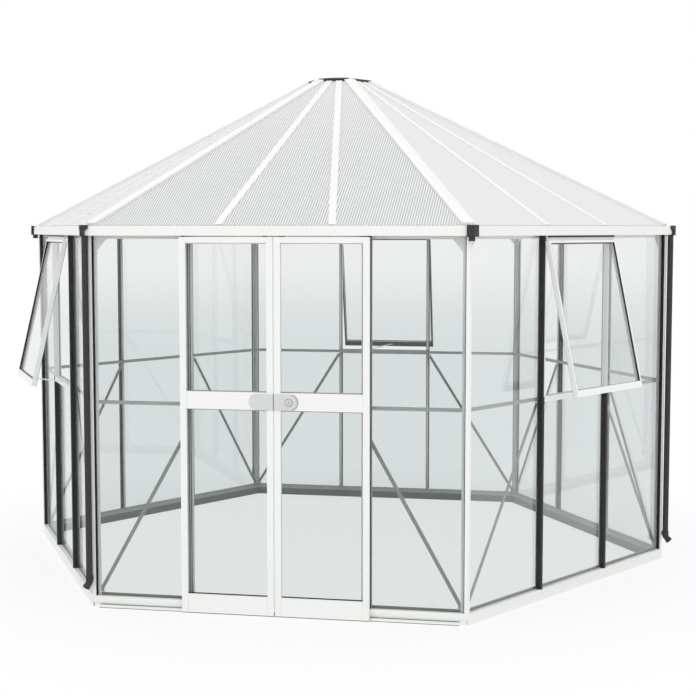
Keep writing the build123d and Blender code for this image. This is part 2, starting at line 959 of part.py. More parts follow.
def door_hangers(hand):
    pieces = []
    seat = gutter_bottom + track_skin + seat_gap
    for share in hanger_offsets_shares:
        middle = leaf_width * share
        a0 = middle - hanger_width / 2
        a1 = middle + hanger_width / 2
        stem = leaf_block(
            hand, a0, a1, door_middle - hanger_stem / 2, door_middle + hanger_stem / 2,
            leaf_top, seat + hanger_wheel_radius * 2,
        )
        wheel = Cylinder(hanger_wheel_radius, hanger_wheel_width, rotation=(90, 0, 0))
        start = leaf_meeting_gap / 2
        place = (hand * (start + middle), -(apothem + door_middle), seat + hanger_wheel_radius)
        pieces.append(stem + wheel.moved(Location(place)))
    return pieces


def door_handle(hand):
    middle = leaf_mid_height + handle_rise
    z0 = middle - handle_height / 2
    z1 = middle + handle_height / 2
    plate = leaf_block(
        hand, 0, handle_length, door_front, door_front + handle_thickness, z0, z1
    )
    far = hand * (leaf_meeting_gap / 2 + handle_length)
    ends = [e for e in plate.edges().filter_by(Axis.Y) if abs(e.center().X - far) < seat_gap]
    return [fillet(ends, handle_height / 2 - seat_gap)]


def door_lock():
    face = door_front + handle_thickness
    x = leaf_meeting_gap / 2 + lock_offset
    z = leaf_mid_height + handle_rise
    ring = Cylinder(lock_radius, lock_depth, rotation=(90, 0, 0))
    barrel = Cylinder(lock_barrel_radius, lock_barrel_depth, rotation=(90, 0, 0))
    ring = ring.moved(Location((x, -(apothem + face + lock_depth / 2), z)))
    tip = face + lock_depth + lock_barrel_depth / 2
    return [ring + barrel.moved(Location((x, -(apothem + tip), z)))]


# Gutter corners: plates lapping both gutters, a shelf below, and a stub or a rain pipe
def gutter_corner(corner):
    lap_back = gutter_projection + seat_gap
    lap_front = gutter_projection + gutter_corner_lap
    start = bisector(lap_front)
    low = gutter_bottom - gutter_corner_plate
    high = eaves_height + gutter_corner_rise
    end = start + gutter_corner_reach
    lap = [(start, low), (end, low), (end, high), (start, high)]
    if corner != block_corner:
        tail = start + gutter_corner_root
        turn_height = eaves_height - gutter_corner_tail
        lap = [(start, low), (tail, low), (tail, turn_height)]
        lap += [(end, eaves_height - gutter_corner_shoulder), (end, high), (start, high)]
    shelf = (
        (start, lap_front),
        (start + gutter_shelf_reach, lap_front),
        (start + gutter_shelf_reach, gutter_corner_floor),
        (bisector(gutter_corner_floor), gutter_corner_floor),
    )
    piece = corner_prism(shelf, low, gutter_bottom)
    for hand in (-1, 1):
        piece += corner_plate(lap, lap_back, lap_front, hand)
    return piece


def gutter_corners():
    pieces = []
    low = gutter_bottom - gutter_corner_plate
    for corner in range(walls):
        piece = gutter_corner(corner)
        if corner not in pipe_corners:
            place = Location((pipe_centre, 0, low - gutter_stub_length))
            piece += Solid.make_cylinder(gutter_stub_radius, gutter_stub_length).moved(place)
        pieces.append(turn(piece, corner))
    return pieces


def elbow_arm(radius, start, end):
    # A length of round bar along the elbow, measured from the bend
    arm = Solid.make_cylinder(radius, end - start).moved(Location((0, 0, -end)))
    return arm.rotate(Axis.Y, -elbow_angle).moved(Location((pipe_centre, 0, pipe_foot_height)))


def rain_pipes():
    # A down pipe with an elbow whose outlet is open
    foot = Location((pipe_centre, 0, pipe_foot_height))
    top = gutter_bottom - gutter_corner_plate
    tube = Solid.make_cylinder(pipe_radius, top - pipe_foot_height).moved(foot)
    bend = Solid.make_sphere(pipe_radius).moved(foot)
    outlet = elbow_arm(pipe_radius - pipe_wall, elbow_length - outlet_depth, elbow_length + cut_overrun)
    pipe = tube + bend + elbow_arm(pipe_radius, 0, elbow_length) - outlet
    return [turn(pipe, corner) for corner in pipe_corners]


def pipe_clips():
    band = Solid.make_cylinder(pipe_radius + clip_wall, clip_band)
    hollow = Solid.make_cylinder(pipe_radius + seat_gap, clip_band)
    arm_start = seat_gap - pipe_centre_reach
    arm = Solid.make_box(-arm_start, clip_arm_width, clip_band)
    arm = arm.moved(Location((arm_start, -clip_arm_width / 2, 0)))
    band = (band + arm - hollow).moved(Location((pipe_centre, 0, clip_height)))
    return [turn(band, corner) for corner in pipe_corners]


def build():
    save("base_rails", base_rails())
    save("gutters", gutters())
    save("gutter_corners", gutter_corners())
    save("rain_pipes", rain_pipes())
    save("pipe_clips", pipe_clips())
    save("corner_posts", corner_posts())
    save("corner_seals", corner_seals())
    save("wall_bars", wall_bars())
    save("bar_caps", bar_caps())
    save("door_jambs", door_jambs())
    save("jamb_caps", jamb_caps())
    save("mid_rails", mid_rails())
    save("vent_sills", vent_sills())
    save("wall_braces", wall_braces())
    save("eaves_gussets", eaves_gussets())
    for wall, name in enumerate(wall_names):
        save(f"{name}_wall_glass", wall_glass(wall))
        save(f"{name}_roof_panels", roof_panels(wall))
    save("roof_bars", roof_bars())
    save("roof_caps", roof_caps())
    save("hip_bars", hip_bars())
    save("hip_caps", hip_caps())
    save("crown_ring", crown_ring())
    save("crown_cap", crown_cap())
    save("vent_hinges", vent_hinges())
    save("vent_stiles", vent_stiles())
    save("vent_rails", vent_rails())
    save("vent_glass", vent_glass())
    save("vent_stays", vent_stays())
    save("door_head_track", door_head_track())
    save("door_guide_rail", door_guide_rail())
    for name, hand in (("left", -1), ("right", 1)):
        save(f"{name}_door_stiles", door_stiles(hand))
        save(f"{name}_door_rails", door_rails(hand))
        save(f"{name}_door_glass", door_glass(hand))
        save(f"{name}_door_hangers", door_hangers(hand))
        save(f"{name}_door_handle", door_handle(hand))
    save("right_door_lock", door_lock())


build()
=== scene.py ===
import json
import math

import bpy
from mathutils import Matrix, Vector


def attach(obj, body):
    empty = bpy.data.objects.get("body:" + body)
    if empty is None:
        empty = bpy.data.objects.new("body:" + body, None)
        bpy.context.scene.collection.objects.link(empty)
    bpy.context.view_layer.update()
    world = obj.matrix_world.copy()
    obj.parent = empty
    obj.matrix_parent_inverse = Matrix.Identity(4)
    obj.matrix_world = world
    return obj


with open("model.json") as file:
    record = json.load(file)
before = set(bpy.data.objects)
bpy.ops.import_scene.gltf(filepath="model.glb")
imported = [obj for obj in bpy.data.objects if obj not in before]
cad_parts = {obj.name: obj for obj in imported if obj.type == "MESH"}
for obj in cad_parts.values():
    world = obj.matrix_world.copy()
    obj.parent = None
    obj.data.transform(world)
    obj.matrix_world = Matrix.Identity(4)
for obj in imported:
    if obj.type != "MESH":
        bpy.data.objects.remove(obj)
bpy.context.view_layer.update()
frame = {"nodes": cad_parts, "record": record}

# Camera, solved from the photograph's hexagon
CAMERA_PLACE = (1.636, -8.315, 1.864)
CAMERA_TURN = 10.81
CAMERA_DIP = 4.68
CAMERA_LENS = 75.1
SENSOR_WIDTH = 36.0

# Light: an even pale surround and two soft lamps, from the left and the right
AMBIENT = 0.90
SUN_SPREAD = 20
SUN_TILT = 42
SUNS = {"left_lamp": (-32, 0.26), "right_lamp": (32, 0.26)}

# Colours, as linear values
WHITE_PAINT = (0.92, 0.93, 0.905)
GREY_METAL = (0.36, 0.375, 0.365)
# The bar, base and post tones below paint the shade on faces behind the glass; the rail tone
# also paints the light on the base's shoulder and the shade inside the vent sills
BAR_SHADE = (0.27, 0.282, 0.274)
BASE_SHADE = (0.27, 0.283, 0.274)
RAIL_METAL = (0.50, 0.52, 0.51)
POST_SHADE = (0.86, 0.88, 0.865)
PALE_METAL = (0.70, 0.72, 0.705)
BLACK_TRIM = (0.011, 0.0115, 0.011)
# Painted shade for the inner faces of the vent frames
VENT_INNER_SHADE = (0.19, 0.199, 0.192)
BLACK_PLASTIC = (0.022, 0.0225, 0.021)
GREY_PLASTIC = (0.24, 0.245, 0.24)
HANDLE_GREY = (0.69, 0.70, 0.685)
GUSSET_PALE = (0.94, 0.95, 0.94)
# Painted shade for the plate's edge, the lock's groove and the gap between the handles
HANDLE_SHADE = (0.36, 0.365, 0.36)
GLASS_SKY = (0.957, 0.962, 0.960)
GLASS_LOW_REFLECTION = (0.908, 0.922, 0.922)
GLASS_SHINE = (0.97, 0.975, 0.97)
ROOF_PALE = (0.975, 0.980, 0.975)
ROOF_LINE = (0.48, 0.52, 0.52)
FLOOR_PALE = (0.9, 0.9, 0.9)

# The hexagon, in metres; layers of a wall are measured out from the face of its base
WALLS = 6
SIDE = 1.860
APOTHEM = SIDE * math.cos(math.pi / WALLS)
GLASS_INNER = -0.025
FLANGE_BACK = -0.028
LAYER_STEP = 0.001
GUTTER_BOTTOM = 1.833
BASE_SHOULDER = 0.0445
VENT_WALLS = range(1, WALLS, 2)

# Vents, standing open; down is measured from the hinge, out from the middle of the frame
VENT_HALF = 0.315
VENT_STILE = 0.012
VENT_DEPTH = 0.024
VENT_TOP_RAIL = 0.015
VENT_FOOT_RAIL = 0.034
VENT_LENGTH = 0.786
VENT_REACH = 0.0195
VENT_HINGE = 1.808
VENT_ANGLE = math.radians(13)

# Door leaves; a is measured away from the meeting edge
LEAF_GAP = 0.003
LEAF_WIDTH = 0.460
LEAF_STILE = 0.031
LEAF_GLASS_FRONT = 0.018
LEAF_GLASS_BACK = 0.014
LEAF_BOTTOM = 0.005
LEAF_FOOT = 0.097
LEAF_MID_LOW = 1.003
LEAF_MID_HIGH = 1.088
LEAF_HEAD = 1.799
LEAF_TOP = 1.827
HANDLE_MIDDLE = 1.043
HANDLE_HEIGHT = 0.078
HANDLE_LENGTH = 0.118
HANDLE_FACE = 0.030
LOCK_OFFSET = 0.072
LOCK_FACE = 0.036
BARREL_FACE = 0.039

# Braces and gussets, where the bolts are
BRACE_FOOT = (0.884, 0.0755)
BRACE_HEAD = (0.318, 0.996)
BRACE_HEAD_FRONT = (0.459, 0.862)
BRACE_BACK = -0.032
GUSSET_BOLTS = ((0.888, 1.806), (0.862, 1.806), (0.888, 1.772))
GUSSET_BACK = -0.031

FLOOR_SIZE = 60.0
FLOOR_WHITENESS = 0.78
FLOOR_SHADE_REACH = 1.8
FLOOR_WHITE_REACH = 3.0

UP = Vector((0, 0, 1))
BEAD_STEPS = 6


# Places on the object
def wall_normal(wall):
    angle = math.radians(wall * 360 / WALLS - 90)
    return Vector((math.cos(angle), math.sin(angle), 0))


def wall_along(wall):
    n = wall_normal(wall)
    return Vector((-n.y, n.x, 0))


def wall_point(wall, u, n, z):
    return wall_along(wall) * u + wall_normal(wall) * (APOTHEM + n) + UP * z


def vent_point(wall, u, down, out):
    reach = VENT_REACH + down * math.sin(VENT_ANGLE) + out * math.cos(VENT_ANGLE)
    height = VENT_HINGE - down * math.cos(VENT_ANGLE) + out * math.sin(VENT_ANGLE)
    return wall_point(wall, u, reach, height)


def vent_axes(wall):
    # The vent's own directions: along the wall, down its slope, and out of its face
    middle = vent_point(wall, 0, 0, 0)
    fall = (vent_point(wall, 0, 1, 0) - middle).normalized()
    out = (vent_point(wall, 0, 0, 1) - middle).normalized()
    return wall_along(wall), fall, out


def leaf_point(hand, a, n, z):
    return Vector((hand * (LEAF_GAP + a), -(APOTHEM + n), z))


# Mesh building: a list of points and faces that grows piece by piece
class Shape:
    def __init__(self):
        self.points = []
        self.faces = []

    def loft(self, rings):
        start = len(self.points)
        count = len(rings[0])
        for ring in rings:
            self.points += ring
        for r in range(len(rings) - 1):
            for i in range(count):
                a = start + r * count + i
                b = start + r * count + (i + 1) % count
                self.faces.append((a, b, b + count, a + count))
        last = start + (len(rings) - 1) * count
        self.faces.append(tuple(reversed(range(start, start + count))))
        self.faces.append(tuple(range(last, last + count)))

    def sweep(self, start, end, side, up, outline):
        # An outline of (side, up) points drawn straight from start to end
        self.loft([[p + side * a + up * b for a, b in outline] for p in (start, end)])

    def turned(self, centre, axis, outline, steps):
        # An outline of (radius, along) points turned round an axis
        axis = axis.normalized()
        side = axis.orthogonal().normalized()
        other = axis.cross(side)
        rings = []
        for radius, reach in outline:
            ring = []
            for i in range(steps):
                angle = 2 * math.pi * i / steps
                spoke = side * math.cos(angle) + other * math.sin(angle)
                ring.append(centre + axis * reach + spoke * radius)
            rings.append(ring)
        self.loft(rings)

    def arc(self, centre, side, up, face, radii, angles, height, steps):
        # A curved strip that stands on a face, between two radii and two angles
        inner, outer = radii
        first, last = angles
        rings = []
        for i in range(steps + 1):
            angle = first + (last - first) * i / steps
            spoke = side * math.cos(angle) + up * math.sin(angle)
            foot = centre + spoke * inner
            edge = centre + spoke * outer
            rings.append([foot, edge, edge + face * height, foot + face * height])
        self.loft(rings)

    def piece(self, name, body, material, smooth=False):
        mesh = bpy.data.meshes.new(name)
        mesh.from_pydata([tuple(p) for p in self.points], [], self.faces)
        mesh.validate()
        mesh.materials.append(material)
        for face in mesh.polygons:
            face.use_smooth = smooth
        made = bpy.data.objects.new(name, mesh)
        bpy.context.collection.objects.link(made)
        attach(made, body)
        return made


def bead(width, height):
    # A flat-backed strip with a rounded crown
    half = width / 2
    arc = [math.pi * i / BEAD_STEPS for i in range(BEAD_STEPS + 1)]
    return [(half * math.cos(a), height * math.sin(a)) for a in arc]


def strip(low, high, height):
    # A flat strip between two sides
    return [(low, 0), (high, 0), (high, height), (low, height)]


# Material helpers
def new_material(name):
    material = bpy.data.materials.new(name)
    material.use_nodes = True
    nodes = material.node_tree.nodes
    return material, nodes, material.node_tree.links, nodes["Principled BSDF"]


def grade(colour, share):
    return (*[min(1, c * share) for c in colour], 1)


def maths(nodes, links, operation, first, second):
    node = nodes.new("ShaderNodeMath")
    node.operation = operation
    for socket, value in zip(node.inputs, (first, second)):
        if isinstance(value, (int, float)):
            socket.default_value = value
        else:
            links.new(value, socket)
    return node.outputs[0]


def along(nodes, links, place, direction):
    dot = nodes.new("ShaderNodeVectorMath")
    dot.operation = "DOT_PRODUCT"
    dot.inputs[1].default_value = tuple(direction)
    links.new(place, dot.inputs[0])
    return dot.outputs["Value"]


def wall_reach(nodes, links, place):
    # How far out a point lies, measured square to the nearest wall
    reach = None
    for wall in range(WALLS // 2):
        dot = along(nodes, links, place, wall_normal(wall))
        size = maths(nodes, links, "ABSOLUTE", dot, 0)
        reach = size if reach is None else maths(nodes, links, "MAXIMUM", reach, size)
    return reach


def ramp(nodes, links, value, low, high, first=0.0, last=1.0):
    spread = nodes.new("ShaderNodeMapRange")
    spread.inputs["From Min"].default_value = low
    spread.inputs["From Max"].default_value = high
    spread.inputs["To Min"].default_value = first
    spread.inputs["To Max"].default_value = last
    links.new(value, spread.inputs["Value"])
    return spread.outputs["Result"]


def mixed(nodes, links, factor, first, second):
    mix = nodes.new("ShaderNodeMix")
    mix.data_type = "RGBA"
    for socket, value in ((mix.inputs["A"], first), (mix.inputs["B"], second)):
        if isinstance(value, tuple):
            socket.default_value = value
        else:
            links.new(value, socket)
    links.new(factor, mix.inputs["Factor"])
    return mix.outputs["Result"]


def mixed_shader(nodes, links, factor, first, second):
    mix = nodes.new("ShaderNodeMixShader")
    if isinstance(factor, float):
        mix.inputs["Fac"].default_value = factor
    else:
        links.new(factor, mix.inputs["Fac"])
    links.new(first, mix.inputs[1])
    links.new(second, mix.inputs[2])
    links.new(mix.outputs["Shader"], nodes["Material Output"].inputs["Surface"])


def fine_noise(nodes, links, place, scale, stretch=(1, 1, 1)):
    mapping = nodes.new("ShaderNodeMapping")
    mapping.inputs["Scale"].default_value = stretch
    links.new(place, mapping.inputs["Vector"])
    noise = nodes.new("ShaderNodeTexNoise")
    noise.inputs["Scale"].default_value = scale
    noise.inputs["Detail"].default_value = NOISE_DETAIL
    links.new(mapping.outputs["Vector"], noise.inputs["Vector"])
    return noise.outputs["Fac"]


def object_place(nodes):
    return nodes.new("ShaderNodeTexCoord").outputs["Object"]


PAINT_ROUGHNESS = 0.42
TRIM_ROUGHNESS = 0.45
PLASTIC_ROUGHNESS = 0.5
HANDLE_ROUGHNESS = 0.32
EDGE_ROUGHNESS = 0.4
SHEET_ROUGHNESS = 0.3
FLOOR_ROUGHNESS = 0.9
PAINT_RELIEF = 0.08
METAL_RELIEF = 0.15
SHEET_RELIEF = 0.2
METAL_SHARE = 0.15
ROUGH_LOW_SHARE = 0.85
ROUGH_HIGH_SHARE = 1.15
RELIEF_DEPTH = 0.0006
NOISE_DETAIL = 3
GRAIN_SCALE = 900
STREAK_SCALE = 160
STREAK_STRETCH = (1, 1, 0.03)
GRAIN_SHARES = (0.95, 1.05)
STREAK_SHARES = (0.8, 1.2)


def surface(nodes, links, shader, noise, rough, bump):
    low = rough * ROUGH_LOW_SHARE
    high = rough * ROUGH_HIGH_SHARE
    links.new(ramp(nodes, links, noise, 0, 1, low, high), shader.inputs["Roughness"])
    relief = nodes.new("ShaderNodeBump")
    relief.inputs["Strength"].default_value = bump
    relief.inputs["Distance"].default_value = RELIEF_DEPTH
    links.new(noise, relief.inputs["Height"])
    links.new(relief.outputs["Normal"], shader.inputs["Normal"])


def grained(nodes, links, noise, colour, shares):
    return mixed(nodes, links, noise, grade(colour, shares[0]), grade(colour, shares[1]))


# Materials
def painted(name, colour, rough):
    # Powder coat or moulded plastic with a fine grain
    material, nodes, links, shader = new_material(name)
    noise = fine_noise(nodes, links, object_place(nodes), GRAIN_SCALE)
    links.new(grained(nodes, links, noise, colour, GRAIN_SHARES), shader.inputs["Base Color"])
    surface(nodes, links, shader, noise, rough, PAINT_RELIEF)
    return material


def drawn_metal(name, colour):
    # Mill-finish aluminium with the long streaks of its extrusion
    material, nodes, links, shader = new_material(name)
    streaks = fine_noise(nodes, links, object_place(nodes), STREAK_SCALE, STREAK_STRETCH)
    links.new(grained(nodes, links, streaks, colour, STREAK_SHARES), shader.inputs["Base Color"])
    shader.inputs["Metallic"].default_value = METAL_SHARE
    surface(nodes, links, shader, streaks, PAINT_ROUGHNESS, METAL_RELIEF)
    return material


def shaded_behind_glass(name, inside, rib_painted_tone, rib_foot=0.0):
    # Powder coat outside the glass; behind it the coat is drawn in darker tones that paint the
    # shade inside the house, one on the layer against the glass and another on the ribs, and the
    # base's lighter rib tone paints the light on its shoulder
    material, nodes, links, shader = new_material(name)
    place = object_place(nodes)
    noise = fine_noise(nodes, links, place, GRAIN_SCALE)
    streaks = fine_noise(nodes, links, place, STREAK_SCALE, STREAK_STRETCH)
    paint = grained(nodes, links, noise, WHITE_PAINT, GRAIN_SHARES)
    inner_painted_shade = grained(nodes, links, streaks, inside, STREAK_SHARES)
    rib_painted = grained(nodes, links, streaks, rib_painted_tone, STREAK_SHARES)
    reach = wall_reach(nodes, links, place)
    outside = maths(nodes, links, "GREATER_THAN", reach, APOTHEM + GLASS_INNER + LAYER_STEP)
    behind = maths(nodes, links, "LESS_THAN", reach, APOTHEM + FLANGE_BACK - LAYER_STEP)
    raised = maths(nodes, links, "GREATER_THAN", along(nodes, links, place, UP), rib_foot)
    ribbed = maths(nodes, links, "MULTIPLY", behind, raised)
    painted_tone = mixed(nodes, links, ribbed, inner_painted_shade, rib_painted)
    links.new(mixed(nodes, links, outside, painted_tone, paint), shader.inputs["Base Color"])
    surface(nodes, links, shader, noise, PAINT_ROUGHNESS, PAINT_RELIEF)
    return material


REFLECTION_FADE_LOW = 1.28
REFLECTION_FADE_HIGH = 1.64
GLASS_EDGE = 0.08
GLASS_LAYERS = 32
GLASS_ROUGHNESS = 0.008
GLASS_RIPPLE = 0.01
RIPPLE_SCALE = 3


def glass(name):
    # Clear glass with a painted reflection of the horizon: a little greyer and bluer below eye
    # level
    material, nodes, links, shader = new_material(name)
    shader.inputs["Base Color"].default_value = (*GLASS_SHINE, 1)
    shader.inputs["Metallic"].default_value = 1.0
    place = object_place(nodes)
    ripple = fine_noise(nodes, links, place, RIPPLE_SCALE)
    surface(nodes, links, shader, ripple, GLASS_ROUGHNESS, GLASS_RIPPLE)
    # Painted reflection: the tint turns greyer and bluer below eye level
    height = ramp(nodes, links, along(nodes, links, place, UP), REFLECTION_FADE_LOW, REFLECTION_FADE_HIGH)
    clear = nodes.new("ShaderNodeBsdfTransparent")
    tint = mixed(nodes, links, height, grade(GLASS_LOW_REFLECTION, 1), grade(GLASS_SKY, 1))
    links.new(tint, clear.inputs["Color"])
    edge = nodes.new("ShaderNodeLayerWeight")
    edge.inputs["Blend"].default_value = GLASS_EDGE
    mixed_shader(
        nodes, links, edge.outputs["Facing"], clear.outputs["BSDF"], shader.outputs["BSDF"]
    )
    return material


ROOF_FLUTE = 0.0125
ROOF_GLOW = 0.2
SHEEN_EDGES = (0.56, 0.66)
SHEEN_SHARE = 0.9
SHEEN_BLEND = 0.5
FLUTE_EDGES = (0.25, 0.75)


def fluted_sheet(name, wall):
    # Twin-wall sheet: fine flutes up the slope, faded by a painted sheen where the sheet is seen
    # at a flat angle
    material, nodes, links, shader = new_material(name)
    across = along(nodes, links, object_place(nodes), wall_along(wall))
    turns = maths(nodes, links, "MULTIPLY", across, 2 * math.pi / ROOF_FLUTE)
    wave = maths(nodes, links, "SINE", turns, 0)
    lines = ramp(nodes, links, wave, *FLUTE_EDGES)
    slant = nodes.new("ShaderNodeLayerWeight")
    slant.inputs["Blend"].default_value = SHEEN_BLEND
    # Painted sheen: at a flat view the flute lines fade into the pale colour
    painted_sheen = ramp(nodes, links, slant.outputs["Facing"], *SHEEN_EDGES, 1.0, 1.0 - SHEEN_SHARE)
    factor = maths(nodes, links, "MULTIPLY", lines, painted_sheen)
    tint = mixed(nodes, links, factor, grade(ROOF_PALE, 1), grade(ROOF_LINE, 1))
    links.new(tint, shader.inputs["Base Color"])
    surface(nodes, links, shader, factor, SHEET_ROUGHNESS, SHEET_RELIEF)
    through = nodes.new("ShaderNodeBsdfTranslucent")
    links.new(tint, through.inputs["Color"])
    mixed_shader(nodes, links, ROOF_GLOW, shader.outputs["BSDF"], through.outputs["BSDF"])
    return material


WHITE = painted("white_paint", WHITE_PAINT, PAINT_ROUGHNESS)
GREY = drawn_metal("bare_aluminium", GREY_METAL)
PALE = drawn_metal("pale_aluminium", PALE_METAL)
BLACK = painted("black_trim", BLACK_TRIM, TRIM_ROUGHNESS)
VENT_INNER_SHADE_PAINT = painted("vent_inner_shade", VENT_INNER_SHADE, PLASTIC_ROUGHNESS)
HANDLE = painted("handle_metal", HANDLE_GREY, HANDLE_ROUGHNESS)
HANDLE_SHADE_PAINT = painted("handle_painted_shade", HANDLE_SHADE, EDGE_ROUGHNESS)
# Glazing bars: painted shade on the layer behind the glass, paler on the ribs
BARS = shaded_behind_glass("glazing_bar_shaded", BAR_SHADE, PALE_METAL)

SLOT_MATERIALS = {
    "white_paint": WHITE,
    "bare_aluminium": GREY,
    "black_trim": BLACK,
    "black_plastic": painted("black_plastic", BLACK_PLASTIC, PLASTIC_ROUGHNESS),
    "handle_metal": HANDLE,
    "hanger_plastic": painted("hanger_plastic", GREY_PLASTIC, PLASTIC_ROUGHNESS),
    "glass": glass("glass"),
}
NODE_MATERIALS = {
    "base_rails": shaded_behind_glass("base_shaded", BASE_SHADE, RAIL_METAL, BASE_SHOULDER),
    "corner_posts": shaded_behind_glass("post_shaded", POST_SHADE, PALE_METAL),
    "wall_bars": BARS,
    "vent_sills": shaded_behind_glass("sill_shaded", RAIL_METAL, RAIL_METAL),
    "mid_rails": drawn_metal("rail_metal", RAIL_METAL),
    "door_jambs": PALE,
    "eaves_gussets": painted("gusset_paint", GUSSET_PALE, TRIM_ROUGHNESS),
    "vent_hinges": PALE,
    "gutters": WHITE,
    "door_head_track": WHITE,
    "vent_stays": WHITE,
}
WALL_NAMES = ("front", "right_front", "right_back", "back", "left_back", "left_front")
for number, title in enumerate(WALL_NAMES):
    NODE_MATERIALS[f"{title}_roof_panels"] = fluted_sheet(f"{title}_roof_sheet", number)


def dress_nodes():
    for row in frame["record"]["subparts"]:
        name = row["node"]
        node = frame["nodes"][name]
        node.data.materials.clear()
        material = NODE_MATERIALS.get(name) or SLOT_MATERIALS[row["material_slot"]]
        node.data.materials.append(material)


# Glazing beads of the leaves: fine rounded strips along the rails; their tones paint the shade
# in the glass rebates, pale at the head, grey at the middle rail and black at the foot
BEAD_WIDTH = 0.0045
BEAD_HEIGHT = 0.003
FRONT = Vector((0, -1, 0))


def make_leaf_beads(name, hand):
    rows = {
        "head_beads": (LEAF_HEAD - BEAD_WIDTH / 2, "bare_aluminium", PALE),
        "middle_beads": (LEAF_MID_HIGH + BEAD_WIDTH / 2, "bare_aluminium", GREY),
        "under_beads": (LEAF_MID_LOW - BEAD_WIDTH / 2, "bare_aluminium", GREY),
        "foot_beads": (LEAF_FOOT + BEAD_WIDTH / 2, "black_trim", BLACK),
    }
    for title, (z, slot, material) in rows.items():
        shape = Shape()
        for n, face in ((LEAF_GLASS_FRONT, FRONT), (LEAF_GLASS_BACK, -FRONT)):
            shape.sweep(
                leaf_point(hand, LEAF_STILE, n, z),
                leaf_point(hand, LEAF_WIDTH - LEAF_STILE, n, z),
                UP, face, bead(BEAD_WIDTH, BEAD_HEIGHT),
            )
        shape.piece(f"{name}_door_{title}", f"{name}_door", material, smooth=True)


# Brush under each leaf: a dark tapered strip that just clears the ground; its black also paints
# the shadow in the gap under the leaf
BRUSH_BACK = 0.0185
BRUSH_FRONT = 0.0245
BRUSH_TIP = 0.0012
BRUSH_TAPER = 0.001


def make_leaf_brush(name, hand):
    shape = Shape()
    drop = LEAF_BOTTOM - BRUSH_TIP
    outline = [
        (BRUSH_BACK, 0),
        (BRUSH_FRONT, 0),
        (BRUSH_FRONT - BRUSH_TAPER, -drop),
        (BRUSH_BACK + BRUSH_TAPER, -drop),
    ]
    shape.sweep(
        leaf_point(hand, BRUSH_TAPER, 0, LEAF_BOTTOM),
        leaf_point(hand, LEAF_WIDTH - BRUSH_TAPER, 0, LEAF_BOTTOM),
        FRONT, UP, outline,
    )
    shape.piece(f"{name}_door_brush", f"{name}_door", BLACK)


# Meeting edge: a pale strip on the left leaf, with a dark one behind the handles that paints the
# shade in the gap between them
MEETING_REACH = 0.0045
MEETING_FOOT = 0.020
MEETING_BACK = 0.012
MEETING_FRONT = 0.020
GAP_SHADE_FRONT = 0.0265


def make_meeting_strips():
    pale = Shape()
    pale.sweep(
        leaf_point(-1, 0, 0, MEETING_FOOT), leaf_point(-1, 0, 0, LEAF_TOP),
        FRONT, Vector((1, 0, 0)), strip(MEETING_BACK, MEETING_FRONT, MEETING_REACH),
    )
    pale.piece("left_door_meeting_strip", "left_door", WHITE)
    dark = Shape()
    dark.sweep(
        leaf_point(-1, 0, 0, HANDLE_MIDDLE - HANDLE_HEIGHT / 2),
        leaf_point(-1, 0, 0, HANDLE_MIDDLE + HANDLE_HEIGHT / 2),
        FRONT, Vector((1, 0, 0)), strip(MEETING_FRONT, GAP_SHADE_FRONT, MEETING_REACH),
    )
    dark.piece("left_door_gap_shade", "left_door", HANDLE_SHADE_PAINT)


# Handle trim: a raised rim round each plate's end, dark to paint the shadow on the plate's edge,
# and the lock's ring and key slot, dark to paint the shade in the lock's groove and keyway
RIM_WIDTH = 0.005
RIM_HEIGHT = 0.0012
RIM_SWEEP = math.radians(78)
RIM_STEPS = 28
RING_RADII = (0.0155, 0.0182)
RING_HEIGHT = 0.0014
RING_STEPS = 48
RING_ANGLES = (math.radians(-170), math.radians(170))
KEY_WIDTH = 0.0022
KEY_HEIGHT = 0.010
KEY_DEPTH = 0.0006


def make_handle_trim(name, hand):
    shape = Shape()
    radius = HANDLE_HEIGHT / 2
    centre = leaf_point(hand, HANDLE_LENGTH - radius, HANDLE_FACE, HANDLE_MIDDLE)
    side = Vector((hand, 0, 0))
    shape.arc(
        centre, side, UP, FRONT, (radius - RIM_WIDTH, radius), (-RIM_SWEEP, RIM_SWEEP),
        RIM_HEIGHT, RIM_STEPS,
    )
    shape.piece(f"{name}_door_handle_edge_shade", f"{name}_door", HANDLE_SHADE_PAINT)


def make_lock_trim():
    ring = Shape()
    centre = leaf_point(1, LOCK_OFFSET, LOCK_FACE, HANDLE_MIDDLE)
    ring.arc(
        centre, Vector((1, 0, 0)), UP, FRONT, RING_RADII, RING_ANGLES, RING_HEIGHT, RING_STEPS
    )
    ring.piece("right_door_lock_ring_shade", "right_door", HANDLE_SHADE_PAINT)
    key = Shape()
    face = leaf_point(1, LOCK_OFFSET, BARREL_FACE, HANDLE_MIDDLE)
    key.sweep(
        face - UP * KEY_HEIGHT / 2, face + UP * KEY_HEIGHT / 2, Vector((1, 0, 0)), FRONT,
        strip(-KEY_WIDTH / 2, KEY_WIDTH / 2, KEY_DEPTH),
    )
    key.piece("right_door_key_slot", "right_door", BLACK)


# Vent seals: dark strips on the flanks of each frame, partly seals and partly painted shade on
# the flanks, and a black strip along the hinge that paints the shadow under the gutter
FLANK_SEAL = 0.002
FLANK_BACK = 0.0026
FLANK_FRONT = 0.0115
TOP_SEAL = 0.012
HINGE_SHADE_FOOT = 1.823
HINGE_SHADE_BACK = 0.0243
HINGE_SHADE_FRONT = 0.0278


